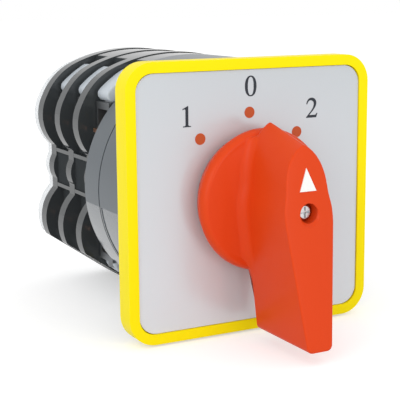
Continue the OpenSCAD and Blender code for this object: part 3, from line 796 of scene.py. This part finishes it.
# %% Cut the screw's well and the pointer's bed
well_floor = screw_low.y + 1.5 * MM
MOUTH = 0.25 * MM
well = turned([(WELL_R, well_floor), (WELL_R, FACE_AT_AXIS + MOUTH), (WELL_R + 8 * MOUTH, FACE_AT_AXIS - 7 * MOUTH)], 64)
grip = combined(grip, loose("well", *well), "DIFFERENCE")

POINTER_W, POINTER_H, POINTER_DROP = 4.1 * MM, 5.0 * MM, 9.8 * MM
BED_D, PROUD = 0.8 * MM, 0.2 * MM


def on_face(x, z, above):
    """A point over the blade's leaning face, for a drawing with its z up the face."""
    lean = math.atan(LEAN)
    return (x, FACE_AT_AXIS + z * math.sin(lean) - above * math.cos(lean),
            z * math.cos(lean) + above * math.sin(lean))


pointer_base = TIP_H - POINTER_DROP
arrow = [(-POINTER_W / 2, pointer_base), (POINTER_W / 2, pointer_base), (0.0, pointer_base + POINTER_H)]


def slab(outline, low, high):
    """Points and faces of a flat shape on the blade's face, between two heights over it."""
    points = [on_face(x, z, h) for h in (low, high) for x, z in outline]
    return points, tube_faces(2, len(outline))


grip = combined(grip, loose("bed", *slab(arrow, -BED_D, 2 * MM)), "DIFFERENCE")
settle(grip, red, "rotor", 28)
grip.name = "grip_handle"
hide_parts("handle")
print("handle:", len(grip.data.polygons), "faces,", [round(v / MM, 2) for v in grip.dimensions])

# %% Pointer
pointer = piece("pointer", *slab(arrow, -BED_D, PROUD), white, "pointer_white", "rotor")
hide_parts("pointer_insert")
print("pointer:", [round(v / MM, 2) for v in pointer.dimensions])

# %% [markdown]
# The round body and the stages are grey and black mouldings whose outer faces are plain curves. The
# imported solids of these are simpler, and the body has flat pads at its sides, so each gets a finer
# piece in its place, joined and cut from extruded outlines as its mould would be.

# %% Extruded outlines
def prism(outline, front, back):
    """A closed mesh between two planes across the shaft, from an outline of x and z."""
    points = [(x, y, z) for y in (front, back) for x, z in outline]
    return loose("prism", points, tube_faces(2, len(outline)))


def box_outline(x_from, x_to, z_from, z_to):
    return [(x_from, z_from), (x_to, z_from), (x_to, z_to), (x_from, z_to)]


def round_outline(radius, x=0.0, z=0.0, count=48):
    turns = [2 * math.pi * k / count for k in range(count)]
    return [(x + radius * math.cos(a), z + radius * math.sin(a)) for a in turns]


def drill(radius, x, z, front, back):
    """A round cutter that lies along the shaft."""
    return prism(round_outline(radius, x, z, 32), front, back)


def with_cuts(made, cuts):
    for cut in cuts:
        made = combined(made, cut, "DIFFERENCE")
    return made


# %% The round body
body_front = -POCKET_D
seam_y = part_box("detent_housing")[0].y
drum_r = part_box("detent_housing")[1].x
EAR_T, EAR_R, HOLE_R, HOLE_AT = 4.8 * MM, 4.4 * MM, 2.2 * MM, 24 * MM
EAR_ROOT = 10 * MM
COLLAR_R, COLLAR_SHORT, JOURNAL_R = 8 * MM, 0.3 * MM, 5.78 * MM
BOLT_AT, BOLT_HOLE_R, BOLT_RECESS_R, BOLT_RECESS_D = 22.6 * MM, 2.15 * MM, 3.8 * MM, 3.2 * MM
SEAM_D, SEAM_W = 0.7 * MM, 0.5 * MM
POCKET_BOTTOM, SIDE_POCKET_D = -21 * MM, 0.15 * MM
POCKET_FROM_EARS, POCKET_FROM_SEAM = 1.6 * MM, 1.0 * MM


def turned_piece(profile, count=192):
    return loose("turned", *turned(profile, count))


def ear(turn):
    """A flat ear with a round end, turned round the shaft's axis."""
    far = HOLE_AT * math.sqrt(2)
    arc = [math.radians(-90 + 10 * k) for k in range(19)]
    rounded = [(far + EAR_R * math.cos(a), EAR_R * math.sin(a)) for a in arc]
    outline = [(far - EAR_ROOT, -EAR_R)] + rounded + [(far - EAR_ROOT, EAR_R)]
    c, s = math.cos(turn), math.sin(turn)
    return prism([(x * c - z * s, x * s + z * c) for x, z in outline], body_front, body_front + EAR_T)


EDGE = 0.25 * MM
body = turned_piece([(drum_r - EDGE, body_front), (drum_r, body_front + EDGE), (drum_r, seam_y - SEAM_W),
                     (drum_r - SEAM_D, seam_y - SEAM_W + 0.01 * MM), (drum_r - SEAM_D, seam_y)])
for k in range(4):
    body = combined(body, ear(math.radians(45 + 90 * k)), "UNION")
body = combined(body, turned_piece([(COLLAR_R, dial_front + COLLAR_SHORT), (COLLAR_R, body_front + MM)], 64), "UNION")
side_pocket = with_cuts(
    prism(box_outline(-drum_r * 1.2, drum_r * 1.2, POCKET_BOTTOM, POCKET_TOP),
          body_front + EAR_T + POCKET_FROM_EARS, seam_y - POCKET_FROM_SEAM),
    [turned_piece([(drum_r - SIDE_POCKET_D, 0), (drum_r - SIDE_POCKET_D, seam_y + MM)])])
cuts = [side_pocket, prism(round_outline(JOURNAL_R), dial_front, seam_y + MM)]
cuts += [drill(HOLE_R, x * HOLE_AT, z * HOLE_AT, body_front - MM, seam_y - SEAM_W - MM) for x in (-1, 1) for z in (-1, 1)]
for z in (-1, 1):
    cuts += [drill(BOLT_RECESS_R, 0, z * BOLT_AT, body_front - MM, body_front + BOLT_RECESS_D),
             drill(BOLT_HOLE_R, 0, z * BOLT_AT, body_front - MM, seam_y + MM)]
body = with_cuts(body, cuts)
body.name = "round_body"
settle(body, grey, "switch_body")
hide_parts("mounting_flange")
print("round body:", len(body.data.polygons), "faces,", [round(v / MM, 2) for v in body.dimensions])

# %% [markdown]
# On top and below, a raised land with the same flat curve as the stages' crowns runs along the body.

# %% Lands on the body
LAND_HALF_W, LAND_FRONT, LAND_IN, BELOW_CROWN = 11.5 * MM, 5 * MM, 28 * MM, 0.2 * MM
for name, side in (("upper_land", 1), ("lower_land", -1)):
    arc = [LAND_HALF_W * (k / 12 - 1) for k in range(25)]
    outline = [(x, side * (CROWN_H - CROWN_R + math.sqrt((CROWN_R - BELOW_CROWN) ** 2 - x * x))) for x in arc]
    outline += [(LAND_HALF_W, side * LAND_IN), (-LAND_HALF_W, side * LAND_IN)]
    land = prism(outline, LAND_FRONT, stage_low.y - 0.01 * MM)
    land.name = name
    settle(land, grey, "switch_body")
print("land:", [round(v / MM, 2) for v in land.dimensions])

# %% [markdown]
# A stage ends in a rim plate with one outline: a flat crown at top and bottom, shoulders, and at each
# side two lobes with a small one between them. Each is a circle, so along any direction from the
# shaft the edge lies where the farthest circle ends. In front of the rim the stage is open at its
# sides: a box with two shelves stands between the crowns.

# %% The stages
LOBE_R, LOBE = 11.4 * MM, Vector((15.79, 14.22)) * MM
MIDDLE_R, MIDDLE_AT = 6.2 * MM, 18.3 * MM
SHOULDER_R = 16.6 * MM
CROWN_Z = CROWN_H - CROWN_R
SHOULDER_X = LOBE.x + LOBE_R - SHOULDER_R
SHOULDER_Z = CROWN_Z + math.sqrt((CROWN_R - SHOULDER_R) ** 2 - SHOULDER_X ** 2)
CROWN_HALF_W = CROWN_R * SHOULDER_X / (CROWN_R - SHOULDER_R)
WALL_HALF_W, BLOCK_H, BOX_X = 11.5 * MM, 11.6 * MM, 21.9 * MM
CHAMFER_TURN, CHAMFER_AT = math.radians(35), 30.6 * MM
SHELF_X, SHELF_Z, SHELF_T = 23.6 * MM, 4.8 * MM, 1.0 * MM
MIDDLE_WALL = 23.2 * MM
CAM_WELL_R, RING_R, CHAMBER_X, CHAMBER_H = 13 * MM, 14.3 * MM, 21.4 * MM, 10.6 * MM
HUB_R = 7.6 * MM
SPRING_END, SPRING_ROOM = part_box("contact_spring_right_1")[1].x + 0.02 * MM, 2.6 * MM
SLOT_H, SLOT_D = 3.06 * MM, 8.2 * MM
# joined pieces reach this far into each other, so that no two faces lie in one plane
SINK = 0.02 * MM


def reach(toward, centre, radius):
    """How far a ray from the axis runs before it leaves a circle, or 0 if it misses it."""
    along = centre.dot(toward)
    left = radius ** 2 - centre.length_squared + along ** 2
    return along + math.sqrt(left) if left > 0 else 0.0


def crown_reach(toward, inset=0.0):
    return min(reach(toward, Vector((0, CROWN_Z)), CROWN_R - inset), CROWN_HALF_W / max(toward.x, 1e-6))


def rim_reach(toward):
    shoulder = reach(toward, Vector((SHOULDER_X, SHOULDER_Z)), SHOULDER_R)
    if shoulder * toward.y < SHOULDER_Z:
        shoulder = 0.0
    inner = min((SHELF_X + SINK) / max(toward.x, 1e-6), LOBE.y / max(toward.y, 1e-6))
    return max(crown_reach(toward), shoulder, inner,
               reach(toward, LOBE, LOBE_R), reach(toward, Vector((MIDDLE_AT, 0)), MIDDLE_R))


def outline_of(rule, count=540):
    """Points of an outline that is the same at left and right, from its reach in each direction."""
    points = []
    for k in range(count):
        turn = 2 * math.pi * k / count
        toward = Vector((abs(math.sin(turn)), abs(math.cos(turn))))
        out = rule(toward)
        if math.cos(turn) < 0:
            # flat below each lower shoulder
            out = min(out, CHAMFER_AT / toward.dot(Vector((math.sin(CHAMFER_TURN), math.cos(CHAMFER_TURN)))))
        points.append((out * math.sin(turn), out * math.cos(turn)))
    return points


def wall_reach(toward):
    return min(crown_reach(toward, BELOW_CROWN), WALL_HALF_W / max(toward.x, 1e-6))


def stage(front):
    """One stage whose front lies in a plane: its rim, walls, box and shelves, with the hollows cut out."""
    rim_front, rim_end = front + stage_pitch - RIM_T, front + rim_back
    made = prism(outline_of(rim_reach), rim_front, rim_end)
    for walls in (outline_of(wall_reach, 180), box_outline(-BOX_X, BOX_X, -BLOCK_H, BLOCK_H),
                  box_outline(-MIDDLE_WALL, MIDDLE_WALL, -SHELF_Z, SHELF_Z)):
        made = combined(made, prism(walls, front, rim_front + SINK), "UNION")
    for z in (-1, 1):
        shelf = box_outline(-SHELF_X, SHELF_X, z * SHELF_Z - SHELF_T / 2, z * SHELF_Z + SHELF_T / 2)
        made = combined(made, prism(shelf, front, rim_end), "UNION")
    hollows = [prism(round_outline(CAM_WELL_R, count=96), front - MM, rim_front),
               prism(round_outline(HUB_R), front - MM, rim_end + MM)]
    hollows += [prism(box_outline(x, x + CHAMBER_X - RING_R, -CHAMBER_H, CHAMBER_H), front - MM, rim_front)
                for x in (-CHAMBER_X, RING_R)]
    hollows += [drill(BOLT_HOLE_R, 0, z * BOLT_AT, front - MM, rim_end + MM) for z in (-1, 1)]
    hollows += [prism(box_outline(-SPRING_END, SPRING_END, -SPRING_ROOM, SPRING_ROOM), front - MM, rim_front),
                prism(box_outline(-SPRING_END + MM, SPRING_END - MM, -SLOT_H, SLOT_H), front - MM, front + SLOT_D)]
    return with_cuts(made, hollows)


for n in (1, 2, 3):
    made = stage(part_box(f"stage_housing_{n}")[0].y)
    made.name = f"stage_{n}"
    settle(made, black, "switch_body")
    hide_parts(f"stage_housing_{n}")
print("stage:", len(made.data.polygons), "faces,", [round(v / MM, 2) for v in made.dimensions])

# %% [markdown]
# A coil spring presses each contact carrier back on its cam. Its outer end stands in a pocket of the
# stage and its inner end on the carrier. Each coil here is made at one length and stays where it is made.

# %% Contact springs
tree, size = new_tree("coil_tree", ["Coil", "Wire", "Length", "Turns", "Side"])
coil = size["Coil"].node("GeometryNodeCurveSpiral", {
    "Resolution": 24, "Rotations": size["Turns"], "Start Radius": size["Coil"], "End Radius": size["Coil"],
    "Height": size["Length"]})
wire = coil.node("GeometryNodeCurvePrimitiveCircle", {"Resolution": 10, "Radius": size["Wire"]})
tube = coil.node("GeometryNodeCurveToMesh", {"Curve": coil, "Profile Curve": wire, "Fill Caps": True})
sideways = size["Side"].node("ShaderNodeCombineXYZ", {"Y": size["Side"] * (math.pi / 2)})
laid = tube.node("GeometryNodeTransform", {"Geometry": tube, "Rotation": sideways})
close_tree(tree, laid, spring_steel)
WIRE_R, COIL_TURNS = 0.3 * MM, 3.0

for side_name, side in (("left", -1), ("right", 1)):
    for n in (1, 2, 3):
        low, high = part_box(f"contact_spring_{side_name}_{n}")
        inner_x, outer_x = (high.x, low.x) if side < 0 else (low.x, high.x)
        y = (low.y + high.y) / 2
        spring = grown(f"coil_{side_name}_{n}", tree, {
            "Coil": (high.z - low.z) / 2 - WIRE_R, "Wire": WIRE_R, "Length": abs(outer_x - inner_x) - 2 * WIRE_R,
            "Turns": COIL_TURNS, "Side": side}, spring_steel, "switch_body", 60, rides=False)
        spring.data.transform(Matrix.Translation((inner_x + side * WIRE_R, y, (low.z + high.z) / 2)))
        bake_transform(spring)
        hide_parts(f"contact_spring_{side_name}_{n}")
print("spring:", len(spring.data.polygons), "faces,", [round(v / MM, 2) for v in spring.dimensions])

# %% [markdown]
# Milky covers close the terminals. Each is a thick curved bar with round ends and edges, and a thin
# tongue that reaches under the closed wall. One tool makes all four of a stage.

# %% Covers of the terminals
COVER_R, COVER_T, COVER_FRONT, COVER_BACK = 31.9 * MM, 3.4 * MM, 1.4 * MM, 8.0 * MM
COVER_FROM, COVER_TO, TONGUE_FROM = math.radians(29.5), math.radians(43), math.radians(20)
TONGUE_T, TONGUE_INSET, LOWER_DROP, COVER_EDGE_R = 1.2 * MM, 0.9 * MM, 1.6 * MM, 0.45 * MM


def bar_outline(radius, thickness, start, end, steps=12):
    """A bar bent round the axis, with round ends, between two angles from straight up."""
    middle, half = radius - thickness / 2, thickness / 2
    turns = [start + (end - start) * k / steps for k in range(steps + 1)]
    outer = [(middle + half, t) for t in turns]
    inner = [(middle - half, t) for t in reversed(turns)]

    def cap(turn, way):
        centre = Vector((middle * math.sin(turn), middle * math.cos(turn)))
        out, along = Vector((math.sin(turn), math.cos(turn))), Vector((math.cos(turn), -math.sin(turn))) * way
        arc = [math.radians(15 * k) for k in range(1, 12)]
        points = [centre + out * half * math.cos(a) + along * half * math.sin(a) for a in arc]
        return points if way > 0 else points[::-1]

    flat = [Vector((r * math.sin(t), r * math.cos(t))) for r, t in outer] + cap(end, 1)
    flat += [Vector((r * math.sin(t), r * math.cos(t))) for r, t in inner] + cap(start, -1)
    return flat


def cover(front, side, level):
    """One cover of a stage: side is -1 at the left and 1 at the right, level -1 below and 1 above."""
    drop = LOWER_DROP if level < 0 else 0.0

    def placed(outline, inset):
        return prism([(side * p.x, level * p.y) for p in outline], front + COVER_FRONT + inset, front + COVER_BACK - inset)

    bar = placed(bar_outline(COVER_R - drop, COVER_T, COVER_FROM, COVER_TO), 0.0)
    rounding = bar.modifiers.new("edges", "BEVEL")
    rounding.width = COVER_EDGE_R
    rounding.segments = 3
    rounding.limit_method = "ANGLE"
    rounding.angle_limit = math.radians(60)
    frozen(bar)
    tongue = bar_outline(COVER_R - drop - TONGUE_INSET, TONGUE_T, TONGUE_FROM, COVER_FROM)
    return combined(bar, placed(tongue, MM), "UNION")


for n in (1, 2, 3):
    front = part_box(f"stage_housing_{n}")[0].y
    made = cover(front, -1, 1)
    for side, level in ((1, 1), (-1, -1), (1, -1)):
        made = combined(made, cover(front, side, level), "UNION")
    made.name = f"covers_{n}"
    settle(made, milky, "switch_body")
    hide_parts(f"terminal_covers_{n}")
print("covers:", len(made.data.polygons), "faces,", [round(v / MM, 2) for v in made.dimensions])

# %% [markdown]
# A shallow cap of the same milky plastic closes the stack behind the last stage. It follows the
# rim's outline, is open at its front, and leaves the nuts of the bolts free in two wells.

# %% The rear cap
CAP_WALL, CAP_INSET, CAP_SKIN = 1.5 * MM, 0.5 * MM, 1.2 * MM
NUT_WELL_R = 4.6 * MM
cap_front, cap_back = last_high.y + SINK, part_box("bolt_nuts")[1].y


def cap_outline(inset):
    """The rim's outline, drawn in towards the axis."""
    points = outline_of(rim_reach, 360)
    return [(x * (1 - inset / math.hypot(x, z)), z * (1 - inset / math.hypot(x, z))) for x, z in points]


cap = prism(cap_outline(CAP_INSET), cap_front, cap_back)
cap = with_cuts(cap, [prism(cap_outline(CAP_INSET + CAP_WALL), cap_front - MM, cap_back - CAP_SKIN)])
for z in (-1, 1):
    tower = prism(round_outline(NUT_WELL_R + CAP_SKIN, 0, z * BOLT_AT), cap_front + SINK, cap_back - CAP_SKIN / 2)
    cap = combined(cap, tower, "UNION")
cap = with_cuts(cap, [prism(round_outline(NUT_WELL_R, 0, z * BOLT_AT), cap_front - MM, cap_back + MM) for z in (-1, 1)])
cap.name = "rear_cap"
settle(cap, clear_milky, "switch_body")
print("rear cap:", len(cap.data.polygons), "faces,", [round(v / MM, 2) for v in cap.dimensions])
